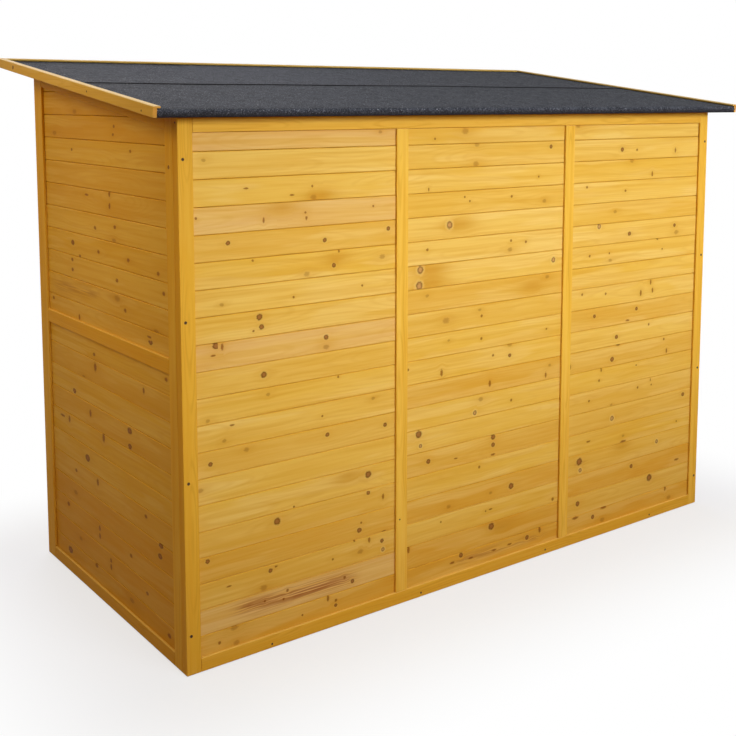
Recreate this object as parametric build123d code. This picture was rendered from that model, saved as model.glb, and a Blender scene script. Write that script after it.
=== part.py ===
from build123d import *
import math
import os

# Bike shed with framed and boarded walls under a lean-to roof of felted boards. Millimetres, +Z up.
# The low back wall faces -Y and the doors in the high front wall face +Y.
# The origin is on the ground, under the middle of the roof.

# Walls, measured over the outside of the framing
length = 2000.0
depth = 947.0
back_height = 1386.0        # ground to the underside of the roof deck at the back face
front_height = 1511.0       # the same at the front face
frame_depth = 26.0          # framing timber, across the wall
board_thickness = 19.0      # wall boards, flush with the inside of the framing
lap_share = 0.4             # part of a framing member's face that covers the edge of the boards
bottom_rail_height = 36.0   # lowest rail of every wall

# Back wall, three boarded bays between two corner posts
bay_names = ("left", "middle", "right")
back_post_face = 40.0
back_batten_face = 40.0
back_top_rail_height = 44.0

# End walls, an upper and a lower boarded panel between two stiles
end_back_stile_face = 42.0
end_front_stile_face = 60.0
end_middle_rail_face = 40.0
end_middle_rail_top = 789.0
end_top_rail_height = 46.0

# Front wall and its pair of doors
front_post_face = 40.0
front_header_height = 60.0
door_gap = 3.0              # clear space round and between the leaves
door_frame_face = 42.0
door_middle_rail_top = 789.0
hinge_height = 80.0
hinge_leaf_width = 30.0
hinge_plate = 2.5
hinge_knuckle_radius = 5.0
hinge_inset = 190.0         # end of a leaf to the middle of its hinge
bolt_plate_height = 34.0
bolt_plate_width = 70.0
bolt_keeper_width = 24.0
bolt_plate = 2.5
bolt_loop_width = 10.0
bolt_loop_inset = 8.0
bolt_rod_radius = 5.0
bolt_rod_clearance = 1.0    # plate to rod
bolt_rod_length = 110.0
bolt_knob_radius = 4.0
bolt_knob_length = 16.0

# Roof, measured along and across its slope
end_overhang = 85.0         # wall to the outside of the edge trim
back_overhang = 50.0        # back face to the outside of the felt at the eave
front_overhang = 74.0       # front face to the outside of the edge trim
deck_thickness = 16.0
felt_thickness = 2.0
felt_return = 24.0          # felt turned under the eave
felt_seam = 452.0           # back face to the lower edge of the upper felt
felt_lap = 75.0             # upper felt over lower felt
trim_leg = 11.0             # thickness of the upright leg of the edge trim
trim_flange = 5.0           # thickness of the flange that lies on the felt
trim_width = 20.0           # outside of the leg to the edge of the flange
bearer_face = 38.0
bearer_height = 30.0

# Slope of the roof, and the height of its underside over any line across the shed
slope = math.atan2(front_height - back_height, depth)
slope_cos = math.cos(slope)
slope_sin = math.sin(slope)

# Edges of the roof along its slope, counted from the back face, and across its thickness
eave_edge = -back_overhang
ridge_edge = depth / slope_cos + front_overhang
trim_bottom = -felt_thickness
flange_bottom = deck_thickness + 2 * felt_thickness
trim_top = flange_bottom + trim_flange

# The roof's outermost points lie at equal distances before and behind the origin
eave_reach = eave_edge * slope_cos - trim_top * slope_sin
ridge_reach = ridge_edge * slope_cos - trim_bottom * slope_sin
back_face = -(eave_reach + ridge_reach) / 2
front_face = back_face + depth
left_face = -length / 2
right_face = length / 2
recess = frame_depth - board_thickness
inner_back = back_face + frame_depth
inner_front = front_face - frame_depth
inner_left = left_face + frame_depth
inner_right = right_face - frame_depth


def underside(y):
    return back_height + (y - back_face) * math.tan(slope)


def block(x_range, y_range, z_range):
    sizes = [high - low for low, high in (x_range, y_range, z_range)]
    middle = [(low + high) / 2 for low, high in (x_range, y_range, z_range)]
    return Pos(*middle) * Box(*sizes)


def along_x(outline, x_range):
    # a length of timber along X, from its outline of (y, z) points
    start, end = x_range
    section = Face(Wire.make_polygon([(start, y, z) for y, z in outline], close=True))
    return extrude(section, amount=end - start, dir=(1, 0, 0))


def under_roof(x_range, y_range, z_low, drop=0.0):
    # an upright piece whose top is cut to the slope, a given drop below the deck
    y_low, y_high = y_range
    outline = [
        (y_low, z_low),
        (y_high, z_low),
        (y_high, underside(y_high) - drop),
        (y_low, underside(y_low) - drop),
    ]
    return along_x(outline, x_range)


def housed(member, *panels):
    # a framing member with the stopped rebates that its boarded panels sit in
    for panel in panels:
        member = member - panel
    return member


def back_wall():
    clear = length - 2 * back_post_face - (len(bay_names) - 1) * back_batten_face
    bay_width = clear / len(bay_names)
    bay_pitch = bay_width + back_batten_face
    first_bay = left_face + back_post_face
    last_bay_end = right_face - back_post_face
    rail_bottom = back_height - back_top_rail_height
    frame_y = (back_face, inner_back)

    panels = {}
    for place, name in enumerate(bay_names):
        start = first_bay + place * bay_pitch
        outer_left = back_post_face if place == 0 else back_batten_face
        outer_right = back_post_face if place == len(bay_names) - 1 else back_batten_face
        panels[f"back_{name}_cladding"] = block(
            (start - lap_share * outer_left, start + bay_width + lap_share * outer_right),
            (back_face + recess, inner_back),
            (bottom_rail_height * (1 - lap_share), rail_bottom + lap_share * back_top_rail_height),
        )
    cuts = list(panels.values())

    rails_x = (first_bay, last_bay_end)
    pieces = {
        "back_left_post": under_roof((left_face, first_bay), frame_y, 0),
        "back_right_post": under_roof((last_bay_end, right_face), frame_y, 0),
        "back_top_rail": under_roof(rails_x, frame_y, rail_bottom),
        "back_bottom_rail": block(rails_x, frame_y, (0, bottom_rail_height)),
    }
    for place, name in enumerate((bay_names[0], bay_names[-1])):
        start = first_bay + bay_width + place * bay_pitch
        pieces[f"back_{name}_batten"] = block(
            (start, start + back_batten_face), frame_y, (bottom_rail_height, rail_bottom)
        )
    pieces = {name: housed(piece, *cuts) for name, piece in pieces.items()}
    return {**pieces, **panels}


def left_end_wall():
    stile_back = inner_back + end_back_stile_face
    stile_front = front_face - end_front_stile_face
    rail_bottom = end_middle_rail_top - end_middle_rail_face
    frame_x = (left_face, inner_left)
    board_x = (left_face + recess, inner_left)
    between = (stile_back, stile_front)
    panel_y = (
        stile_back - lap_share * end_back_stile_face,
        stile_front + lap_share * end_front_stile_face,
    )
    covered = lap_share * end_middle_rail_face

    lower = block(
        board_x, panel_y, (bottom_rail_height * (1 - lap_share), rail_bottom + covered)
    )
    upper = under_roof(
        board_x, panel_y, end_middle_rail_top - covered, end_top_rail_height * (1 - lap_share)
    )
    top_outline = [
        (stile_back, underside(stile_back) - end_top_rail_height),
        (stile_front, underside(stile_front) - end_top_rail_height),
        (stile_front, underside(stile_front)),
        (stile_back, underside(stile_back)),
    ]
    pieces = {
        "end_back_stile": under_roof(frame_x, (inner_back, stile_back), 0),
        "end_front_stile": under_roof(frame_x, (stile_front, front_face), 0),
        "end_bottom_rail": block(frame_x, between, (0, bottom_rail_height)),
        "end_middle_rail": block(frame_x, between, (rail_bottom, end_middle_rail_top)),
        "end_top_rail": along_x(top_outline, frame_x),
    }
    pieces = {name: housed(piece, lower, upper) for name, piece in pieces.items()}
    return {**pieces, "end_lower_cladding": lower, "end_upper_cladding": upper}


# The door opening, between the front posts, the bottom rail and the header
opening_left = inner_left + front_post_face
opening_right = inner_right - front_post_face
header_bottom = front_height - front_header_height
door_bottom = bottom_rail_height + door_gap
door_top = header_bottom - door_gap
door_width = (opening_right - opening_left - 3 * door_gap) / 2


def front_frame():
    frame_y = (inner_front, front_face)
    return {
        "front_left_post": under_roof((inner_left, opening_left), frame_y, 0),
        "front_right_post": under_roof((opening_right, inner_right), frame_y, 0),
        "front_header": under_roof((opening_left, opening_right), frame_y, header_bottom),
        "front_bottom_rail": block((opening_left, opening_right), frame_y, (0, bottom_rail_height)),
    }


def left_door():
    hinge_side = opening_left + door_gap
    meeting_side = hinge_side + door_width
    hinge_stile_end = hinge_side + door_frame_face
    meeting_stile_start = meeting_side - door_frame_face
    middle_bottom = door_middle_rail_top - door_frame_face
    frame_y = (inner_front, front_face)
    board_y = (inner_front, front_face - recess)
    between = (hinge_stile_end, meeting_stile_start)
    covered = lap_share * door_frame_face
    panel_x = (hinge_stile_end - covered, meeting_stile_start + covered)
    lower = block(panel_x, board_y, (door_bottom + door_frame_face - covered, middle_bottom + covered))
    upper = block(
        panel_x, board_y, (door_middle_rail_top - covered, door_top - door_frame_face + covered)
    )
    rails = [
        block(between, frame_y, (low, low + door_frame_face))
        for low in (door_bottom, middle_bottom, door_top - door_frame_face)
    ]
    rails = [housed(rail, lower, upper) for rail in rails]
    return {
        "door_hinge_stile": housed(
            block((hinge_side, hinge_stile_end), frame_y, (door_bottom, door_top)), lower, upper
        ),
        "door_meeting_stile": housed(
            block((meeting_stile_start, meeting_side), frame_y, (door_bottom, door_top)), lower, upper
        ),
        "door_rails": Compound(children=rails),
        "door_cladding": Compound(children=[lower, upper]),
    }


def left_hinges():
    # closed butt hinges, each with its plate on the post and the leaf and its knuckle over the gap
    knuckle_x = opening_left + door_gap / 2
    hinges = []
    for middle in (door_bottom + hinge_inset, door_top - hinge_inset):
        plate = block(
            (knuckle_x - hinge_leaf_width, knuckle_x + hinge_leaf_width),
            (front_face, front_face + hinge_plate),
            (middle - hinge_height / 2, middle + hinge_height / 2),
        )
        knuckle = Pos(knuckle_x, front_face + hinge_knuckle_radius, middle) * Cylinder(
            hinge_knuckle_radius, hinge_height
        )
        hinges.append(plate + knuckle)
    return hinges


def door_bolt():
    # a sliding bolt, shot from its guides on the left leaf into a keeper on the right leaf
    middle = door_middle_rail_top - door_frame_face / 2
    rod_y = front_face + bolt_plate + bolt_rod_clearance + bolt_rod_radius
    loop_y = (front_face, rod_y + bolt_rod_radius + bolt_plate)
    loop_half = bolt_rod_radius + bolt_plate
    plate_left = -door_gap / 2 - bolt_plate_width
    keeper_end = door_gap / 2 + bolt_keeper_width

    upright = (middle - bolt_plate_height / 2, middle + bolt_plate_height / 2)
    plate_y = (front_face, front_face + bolt_plate)
    bolt = block((plate_left, -door_gap / 2), plate_y, upright)
    bolt += block((door_gap / 2, keeper_end), plate_y, upright)
    loop_starts = (
        plate_left + bolt_loop_inset,
        -door_gap / 2 - bolt_loop_inset - bolt_loop_width,
        (door_gap / 2 + keeper_end - bolt_loop_width) / 2,
    )
    for start in loop_starts:
        loop_x = (start, start + bolt_loop_width)
        bolt += block(loop_x, loop_y, (middle - loop_half, middle + loop_half))
    rod_middle = keeper_end - bolt_rod_length / 2
    bolt += Pos(rod_middle, rod_y, middle) * Rot(0, 90, 0) * Cylinder(bolt_rod_radius, bolt_rod_length)
    knob_x = (plate_left - door_gap / 2) / 2
    knob_y = rod_y + bolt_knob_length / 2
    bolt += Pos(knob_x, knob_y, middle) * Rot(90, 0, 0) * Cylinder(bolt_knob_radius, bolt_knob_length)
    return bolt


def bearers():
    # two battens under the deck, cut upright against the top rail and the header
    pieces = []
    for bay in range(1, len(bay_names)):
        middle = left_face + length * bay / len(bay_names)
        outline = [
            (inner_back, underside(inner_back) - bearer_height),
            (inner_front, underside(inner_front) - bearer_height),
            (inner_front, underside(inner_front)),
            (inner_back, underside(inner_back)),
        ]
        pieces.append(along_x(outline, (middle - bearer_face / 2, middle + bearer_face / 2)))
    return Compound(children=pieces)


# The roof is drawn lying flat, with Y up the slope from the back face and Z square to the deck
roof_plane = Plane(
    origin=(0, back_face, back_height), x_dir=(1, 0, 0), z_dir=(0, -slope_sin, slope_cos)
)
trim_left = left_face - end_overhang
trim_right = right_face + end_overhang
deck_x = (trim_left + trim_leg, trim_right - trim_leg)
deck_back = eave_edge + felt_thickness
deck_front = ridge_edge - trim_leg


def trim_section(outer, inward):
    # the angle section of the edge trim, as (across, up) points from the outside of its leg
    return [
        (outer, trim_bottom),
        (outer + inward * trim_leg, trim_bottom),
        (outer + inward * trim_leg, flange_bottom),
        (outer + inward * trim_width, flange_bottom),
        (outer + inward * trim_width, trim_top),
        (outer, trim_top),
    ]


def left_verge_trim():
    section = [(x, eave_edge, z) for x, z in trim_section(trim_left, 1)]
    bar = extrude(
        Face(Wire.make_polygon(section, close=True)), amount=ridge_edge - eave_edge, dir=(0, 1, 0)
    )
    mitre = Plane(origin=(trim_left, ridge_edge, 0), x_dir=(0, 0, 1), z_dir=(1, 1, 0))
    return split(bar, bisect_by=mitre, keep=Keep.BOTTOM)


def front_trim():
    bar = along_x(trim_section(ridge_edge, -1), (trim_left, trim_right))
    left_mitre = Plane(origin=(trim_left, ridge_edge, 0), x_dir=(0, 0, 1), z_dir=(1, 1, 0))
    right_mitre = Plane(origin=(trim_right, ridge_edge, 0), x_dir=(0, 0, 1), z_dir=(-1, 1, 0))
    bar = split(bar, bisect_by=left_mitre, keep=Keep.TOP)
    return split(bar, bisect_by=right_mitre, keep=Keep.TOP)


def lower_felt():
    # one sheet laid up from the eave, folded down over its edge and turned under it
    top = deck_thickness + felt_thickness
    outline = [
        (felt_seam + felt_lap, deck_thickness),
        (felt_seam + felt_lap, top),
        (eave_edge, top),
        (eave_edge, -felt_thickness),
        (eave_edge + felt_thickness + felt_return, -felt_thickness),
        (eave_edge + felt_thickness + felt_return, 0),
        (deck_back, 0),
        (deck_back, deck_thickness),
    ]
    return along_x(outline, deck_x)


def upper_felt():
    # the second sheet, stepped where it leaves the deck to lap over the first
    top = deck_thickness + felt_thickness
    outline = [
        (felt_seam, top),
        (felt_seam + felt_lap, top),
        (felt_seam + felt_lap, deck_thickness),
        (deck_front, deck_thickness),
        (deck_front, top),
        (felt_seam + felt_lap + felt_thickness, top),
        (felt_seam + felt_lap + felt_thickness, top + felt_thickness),
        (felt_seam, top + felt_thickness),
    ]
    return along_x(outline, deck_x)


def roof():
    flat = {
        "roof_deck": block(deck_x, (deck_back, deck_front), (0, deck_thickness)),
        "roof_lower_felt": lower_felt(),
        "roof_upper_felt": upper_felt(),
        "roof_left_trim": left_verge_trim(),
        "roof_right_trim": mirror(left_verge_trim(), about=Plane.YZ),
        "roof_front_trim": front_trim(),
    }
    return {name: roof_plane * piece for name, piece in flat.items()}


def both_sides(pieces):
    # the pieces of the left side, and their mirror images on the right
    paired = {f"left_{name}": piece for name, piece in pieces.items()}
    for name, piece in pieces.items():
        paired[f"right_{name}"] = mirror(piece, about=Plane.YZ)
    return paired


hinges = left_hinges()
nodes = {
    **back_wall(),
    **both_sides(left_end_wall()),
    **front_frame(),
    **both_sides(left_door()),
    "door_hinges": Compound(children=hinges + [mirror(hinge, about=Plane.YZ) for hinge in hinges]),
    "door_bolt": door_bolt(),
    "roof_bearers": bearers(),
    **roof(),
}

os.makedirs("parts", exist_ok=True)
for name, piece in nodes.items():
    export_step(piece, f"parts/{name}.step")
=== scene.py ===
import math
import random

import bmesh
import bpy
import numpy
from mathutils import Matrix, Vector


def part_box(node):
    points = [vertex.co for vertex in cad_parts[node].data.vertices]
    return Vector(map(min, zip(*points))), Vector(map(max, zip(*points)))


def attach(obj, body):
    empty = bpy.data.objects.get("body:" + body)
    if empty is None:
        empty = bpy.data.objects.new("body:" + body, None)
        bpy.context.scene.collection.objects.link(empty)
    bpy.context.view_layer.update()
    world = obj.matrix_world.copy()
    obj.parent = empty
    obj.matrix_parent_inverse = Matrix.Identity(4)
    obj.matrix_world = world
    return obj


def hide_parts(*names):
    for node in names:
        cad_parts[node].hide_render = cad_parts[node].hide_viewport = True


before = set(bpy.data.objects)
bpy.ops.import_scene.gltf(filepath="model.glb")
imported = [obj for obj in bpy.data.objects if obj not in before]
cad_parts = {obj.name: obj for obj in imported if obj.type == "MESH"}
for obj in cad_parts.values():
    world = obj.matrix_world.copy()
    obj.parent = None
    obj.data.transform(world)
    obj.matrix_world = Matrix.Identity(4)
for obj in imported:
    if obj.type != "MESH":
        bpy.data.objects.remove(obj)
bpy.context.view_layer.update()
print("frame loaded,", len(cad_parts), "nodes")

imageSize = 736.0
sensorWidth = 36.0

# the camera that took the photo, found from the corners of walls and roof
photoCamera = {
    "focalPixels": 1173.0,
    "pitch": math.radians(1.14),
    "yaw": math.radians(36.29),
    "place": Vector((-2.309, -3.038, 1.486)),
    "shift": -0.366,
}

# the render's camera: nearly the same picture with less shift, so that other views stay in frame
viewCamera = {
    "focalPixels": 1094.7,
    "pitch": math.radians(6.218),
    "yaw": math.radians(36.461),
    "place": Vector((-2.1674, -2.8155, 1.4146)),
    "shift": -0.20,
}


def cameraAxes(camera):
    flat = Vector((math.sin(camera["yaw"]), math.cos(camera["yaw"]), 0))
    up = Vector((0, 0, 1))
    forward = flat * math.cos(camera["pitch"]) - up * math.sin(camera["pitch"])
    right = forward.cross(up).normalized()
    return right, right.cross(forward), forward


def pixelOnPlane(x, y, point, normal):
    # where a pixel of the photo lands on a plane of the object
    right, up, forward = cameraAxes(photoCamera)
    middle = imageSize / 2
    horizon = middle + photoCamera["shift"] * imageSize
    focal = photoCamera["focalPixels"]
    ray = forward + right * ((x - middle) / focal) + up * ((horizon - y) / focal)
    start = photoCamera["place"]
    reach = (point - start).dot(normal) / ray.dot(normal)
    return start + ray * reach


def addCamera():
    data = bpy.data.cameras.new("view")
    data.sensor_width = sensorWidth
    data.lens = viewCamera["focalPixels"] / imageSize * sensorWidth
    data.shift_y = viewCamera["shift"]
    camera = bpy.data.objects.new("view", data)
    right, up, forward = cameraAxes(viewCamera)
    turn = Matrix((right, up, -forward)).transposed()
    camera.matrix_world = Matrix.Translation(viewCamera["place"]) @ turn.to_4x4()
    bpy.context.scene.collection.objects.link(camera)
    bpy.context.scene.camera = camera


addCamera()
bpy.context.scene.view_settings.view_transform = "Standard"


# an output of a node: adding, multiplying and so on adds the math node that does it
class NodeValue:
    def __init__(self, node, place):
        self.node = node
        self.place = place
        self.tree = node.id_data

    def __add__(self, other):
        return calc("ADD", self, other)

    def __sub__(self, other):
        return calc("SUBTRACT", self, other)

    def __rsub__(self, other):
        return calc("SUBTRACT", other, self)

    def __mul__(self, other):
        return calc("MULTIPLY", self, other)

    def __truediv__(self, other):
        return calc("DIVIDE", self, other)


def put(socket, value):
    if isinstance(value, NodeValue):
        value.tree.links.new(value.node.outputs[value.place], socket)
    else:
        socket.default_value = value


def addNode(tree, kind, inputs=None, **settings):
    # inputs go by place or by name, and of several with one name the one in use counts
    node = tree.nodes.new(kind)
    for name, value in settings.items():
        setattr(node, name, value)
    for key, value in (inputs or {}).items():
        named = [socket for socket in node.inputs if socket.name == key and socket.enabled]
        put(named[0] if named else node.inputs[key], value)
    return node


def outputs(node):
    used = [(place, socket) for place, socket in enumerate(node.outputs) if socket.enabled]
    return {socket.name: NodeValue(node, place) for place, socket in used}


def firstOutput(node):
    return next(iter(outputs(node).values()))


def geo(tree, kind, inputs=None, **settings):
    return firstOutput(addNode(tree, "GeometryNode" + kind, inputs, **settings))


def treeOf(*values):
    return next(value.tree for value in values if isinstance(value, NodeValue))


def calc(operation, *values):
    inputs = dict(enumerate(values))
    return firstOutput(addNode(treeOf(*values), "ShaderNodeMath", inputs, operation=operation))


def combine(x=0.0, y=0.0, z=0.0):
    return firstOutput(addNode(treeOf(x, y, z), "ShaderNodeCombineXYZ", {0: x, 1: y, 2: z}))


def separate(vector):
    return list(outputs(addNode(vector.tree, "ShaderNodeSeparateXYZ", {0: vector})).values())


def noise(vector, scale=1.0, detail=2.0, roughness=0.5):
    values = {"Vector": vector, "Scale": scale, "Detail": detail, "Roughness": roughness}
    return outputs(addNode(vector.tree, "ShaderNodeTexNoise", values))["Fac"]


def fade(value, start, end, low=0.0, high=1.0):
    # goes softly from low to high while the value goes from start to end
    values = {"Value": value, "From Min": start, "From Max": end, "To Min": low, "To Max": high}
    return firstOutput(addNode(value.tree, "ShaderNodeMapRange", values, interpolation_type="SMOOTHSTEP"))


def mixColour(factor, first, second, blend="MIX"):
    values = {0: factor, 6: first, 7: second}
    return NodeValue(addNode(factor.tree, "ShaderNodeMix", values, data_type="RGBA", blend_type=blend), 2)


def ramp(factor, stops):
    node = addNode(factor.tree, "ShaderNodeValToRGB", {"Fac": factor})
    marks = node.color_ramp.elements
    while len(marks) < len(stops):
        marks.new(0.5)
    for mark, (place, value) in zip(marks, stops):
        mark.position = place
        mark.color = value
    return firstOutput(node)


def colour(*screen):
    # a colour as it shows on screen, 0 to 255, made linear for the shader
    shares = [value / 255 for value in screen]
    linear = [share / 12.92 if share <= 0.04045 else ((share + 0.055) / 1.055) ** 2.4 for share in shares]
    return (*linear, 1.0)


def newTree(name, kind, inputs, results):
    # a node tree with named sockets, the values that come into it and the sockets for its results
    tree = bpy.data.node_groups.new(name, kind)
    for way, sockets in (("INPUT", inputs), ("OUTPUT", results)):
        for socketName, socketKind in sockets.items():
            tree.interface.new_socket(socketName, in_out=way, socket_type="NodeSocket" + socketKind)
    return tree, outputs(addNode(tree, "NodeGroupInput")), addNode(tree, "NodeGroupOutput").inputs


def placeGroup(tree, group, inputs):
    return outputs(addNode(tree, "ShaderNodeGroup", inputs, node_tree=group))


def newMaterial(name):
    material = bpy.data.materials.new(name)
    material.use_nodes = True
    tree = material.node_tree
    return material, tree, tree.nodes["Principled BSDF"].inputs


def attribute(tree, name, kind="Fac"):
    return outputs(addNode(tree, "ShaderNodeAttribute", attribute_name=name))[kind]


def objectPlace(tree):
    return outputs(addNode(tree, "ShaderNodeTexCoord"))["Object"]


def cellPicks(place, size):
    # three random values from 0 to 1 for each cell of this size
    cells = addNode(place.tree, "ShaderNodeTexVoronoi", {"Vector": place, "Scale": 1 / size})
    return separate(outputs(cells)["Color"])


def addBump(surface, height, strength, distance):
    values = {"Strength": strength, "Distance": distance, "Height": height}
    put(surface["Normal"], firstOutput(addNode(height.tree, "ShaderNodeBump", values)))


# wood: grain that runs along each piece's own "grain" attribute, in metres from the piece's middle
woodGrain = {
    "swayReach": 0.010,    # how far the grain wanders across a board
    "cloudLength": 0.28,   # soft light and dark patches, along and across
    "cloudHeight": 0.042,
    "patchLength": 0.42,   # where the stain took less, with firmer edges
    "patchHeight": 0.042,
    "bandLength": 0.50,    # long stripes
    "bandHeight": 0.014,
    "streakLength": 0.13,  # finer streaks
    "streakHeight": 0.0040,
    "fibreLength": 0.030,
    "fibreHeight": 0.0009,
    "heartShift": 0.050,   # how far off a board's middle its rings are centred
    "heartDepth": 0.060,   # how far behind the face their centre lies at most
    "lateWood": 2.2,       # the higher, the narrower the dark line of a ring
    "ringsShow": (0.35, 0.62),     # clouds from which the rings start to show and show fully
    "sway": (1.6, 8.0, 9.1),       # pace of the wander along and across a board and between boards
    "heartSway": (2.4, 0.0, 5.3),  # the same for the centre of the rings
    "seedAlong": 41.7,     # times a board's seed, so that no two boards share a figure
    "seedInside": 3.7,
    "seedHeart": 13.7,
    "fibreRelief": 0.6,
    "ringRelief": 0.4,
}


def makeWoodFigure():
    names = ("Clouds", "Patches", "Bands", "Streaks", "Rings", "Fibre", "Height")
    tree, given, result = newTree(
        "woodFigure", "ShaderNodeTree",
        {"Grain": "Vector", "Seed": "Float", "Warp": "Float", "Ring Width": "Float"},
        dict.fromkeys(names, "Float"),
    )
    along, across, depth = separate(given["Grain"])
    seed = given["Seed"]
    start = seed * woodGrain["seedAlong"] + along
    inside = seed * woodGrain["seedInside"] + depth
    bent = across + given["Warp"]

    def slowNoise(lengthwise, crosswise, salt):
        return noise(combine(start * lengthwise, bent * crosswise, seed * salt), detail=1.0)

    row = bent + (slowNoise(*woodGrain["sway"]) - 0.5) * woodGrain["swayReach"]

    def stretched(kind, detail):
        length, height = woodGrain[kind + "Length"], woodGrain[kind + "Height"]
        return noise(combine(start / length, row / height, inside / height), detail=detail)

    clouds = stretched("cloud", 2.0)
    fibre = stretched("fibre", 1.0)

    # rings about a heart that wanders behind the board, so that its face shows arches
    aside = (calc("FRACT", seed * woodGrain["seedHeart"]) - 0.5) * woodGrain["heartShift"] + row
    behind = slowNoise(*woodGrain["heartSway"]) * woodGrain["heartDepth"] + depth
    ring = calc("SQRT", aside * aside + behind * behind) / given["Ring Width"]
    late = calc("POWER", calc("SINE", ring * math.tau) * 0.5 + 0.5, woodGrain["lateWood"])
    rings = late * fade(clouds, *woodGrain["ringsShow"])
    height = fibre * woodGrain["fibreRelief"] + rings * woodGrain["ringRelief"]
    patches, bands, streaks = stretched("patch", 2.0), stretched("band", 1.5), stretched("streak", 2.0)
    values = (clouds, patches, bands, streaks, rings, fibre, height)
    for name, value in zip(names, values):
        put(result[name], value)
    return tree


woodFigure = makeWoodFigure()

# knots are measured in their own half widths from their middle
knotForm = {
    "roughScale": (110.0, 330.0, 110.0),  # along the grain, across it and into the wood, per metre
    "roughness": 0.9,
    "core": (0.50, 1.20),
    "rim": 0.90,
    "rimWidth": 0.30,
    "halo": (1.0, 2.4),
    "hearted": (0.80, 0.98),  # strengths of the rim between which a knot gets a paler heart
    "heartedRim": 0.3,     # what the heart takes off the rim
    "bend": 0.65,          # how far the grain goes round a knot
    "bendFall": 0.16,      # how soon it is straight again
    "least": 0.0004,       # half height under which there is none
}


def makeKnotMarks():
    # place is the offset from the nearest knot and its half height, tone its darkness and rim
    names = ("Core", "Rim", "Heart", "Halo", "Warp")
    tree, given, result = newTree(
        "knotMarks", "ShaderNodeTree", dict.fromkeys(("Place", "Tone", "Grain"), "Vector"),
        dict.fromkeys(names, "Float"),
    )
    along, up, size = separate(given["Place"])
    dark, ring = separate(given["Tone"])[:2]
    there = calc("GREATER_THAN", size, knotForm["least"])
    scaled = addNode(tree, "ShaderNodeVectorMath", {0: given["Grain"], 1: knotForm["roughScale"]},
                     operation="MULTIPLY")
    squared = along * along + up * up
    reach = (noise(firstOutput(scaled)) - 0.5) * knotForm["roughness"] + calc("SQRT", squared)
    core = fade(reach, *knotForm["core"], 1.0, 0.0) * dark
    heart = fade(ring, *knotForm["hearted"])
    fromRim = (reach - knotForm["rim"]) / knotForm["rimWidth"]
    rim = calc("EXPONENT", fromRim * fromRim * -1.0) * (heart * -knotForm["heartedRim"] + ring)
    halo = fade(reach, *knotForm["halo"], 1.0, 0.0) * heart
    warp = up * size * (calc("EXPONENT", squared * -knotForm["bendFall"]) * -knotForm["bend"])
    for name, value in zip(names, (core, rim, heart, halo, warp)):
        put(result[name], value * there)
    return tree


knotMarks = makeKnotMarks()

# a board's shade runs through these colours
shadeStops = {"pale": 0.0, "golden": 0.35, "tan": 0.60, "deep": 0.82, "rosy": 1.0}
# where each part of the figure starts to show and where it is full
figureShow = {
    "Clouds": (0.36, 0.66),
    "Patches": (0.52, 0.60),
    "Bands": (0.40, 0.70),
    "Streaks": (0.40, 0.75),
    "Rings": (0.0, 1.0),
}
# what boards, framing and trim share
stainedSurface = {
    "cloudDepth": 0.55,
    "bandDepth": 0.42,
    "streakDepth": 0.28,
    "haloDepth": 0.5,
    "pithShow": (0.36, 0.58),  # streaks along which dark pith starts to show and shows fully
    "evenness": 0.6,           # deeply stained boards are more even
    "roughness": (0.2, 0.8, 0.50, 0.64),
    "specular": 0.06,
    "bump": (0.25, 0.0006),
}


def stainedWood(name, palette):
    # a stained softwood with its own palette, for boards, framing and trim
    material, tree, surface = newMaterial(name)
    grain = attribute(tree, "grain", "Vector")
    marks = placeGroup(tree, knotMarks, {
        "Place": attribute(tree, "knotPlace", "Vector"), "Tone": attribute(tree, "knotTone", "Vector"),
        "Grain": grain,
    })
    figure = placeGroup(tree, woodFigure, {
        "Grain": grain, "Seed": attribute(tree, "boardSeed"), "Warp": marks["Warp"],
        "Ring Width": palette["ringWidth"],
    })

    def shown(part, depth):
        return fade(figure[part], *figureShow[part], 0.0, depth)

    shade = attribute(tree, "boardShade")
    uneven = shade * -stainedSurface["evenness"] + 1.0
    pith = attribute(tree, "pith") * fade(figure["Streaks"], *stainedSurface["pithShow"])
    coats = [
        (shown("Clouds", stainedSurface["cloudDepth"]) * uneven, palette["cloudTint"]),
        (shown("Patches", palette["patchDepth"]) * uneven, palette["patchTint"]),
        (shown("Bands", stainedSurface["bandDepth"]), palette["bandTint"]),
        (shown("Streaks", stainedSurface["streakDepth"]), palette["streakTint"], "MULTIPLY"),
        (shown("Rings", palette["ringDepth"]), palette["ringTint"]),
        # painted highlight on tops of framing and trim, painted shade on the boards' V joint bevels
        (attribute(tree, "edgeHighlightAndShade"), palette["edgeHighlightAndShade"]),
        (attribute(tree, "stain"), palette["stain"]),
        (pith, palette["pith"]),
        (marks["Halo"] * stainedSurface["haloDepth"], palette["patchTint"]),
        (marks["Core"], mixColour(marks["Heart"], palette["knot"], palette["heart"])),
        (marks["Rim"], palette["rim"]),
        (attribute(tree, "endGrain"), palette["endGrain"]),
    ]
    base = ramp(shade, [(stop, palette[tone]) for tone, stop in shadeStops.items()])
    for cover, *coat in coats:
        base = mixColour(cover, base, *coat)
    put(surface["Base Color"], base)
    put(surface["Roughness"], fade(figure["Fibre"], *stainedSurface["roughness"]))
    surface["Specular IOR Level"].default_value = stainedSurface["specular"]
    addBump(surface, figure["Height"], *stainedSurface["bump"])
    return material


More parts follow.
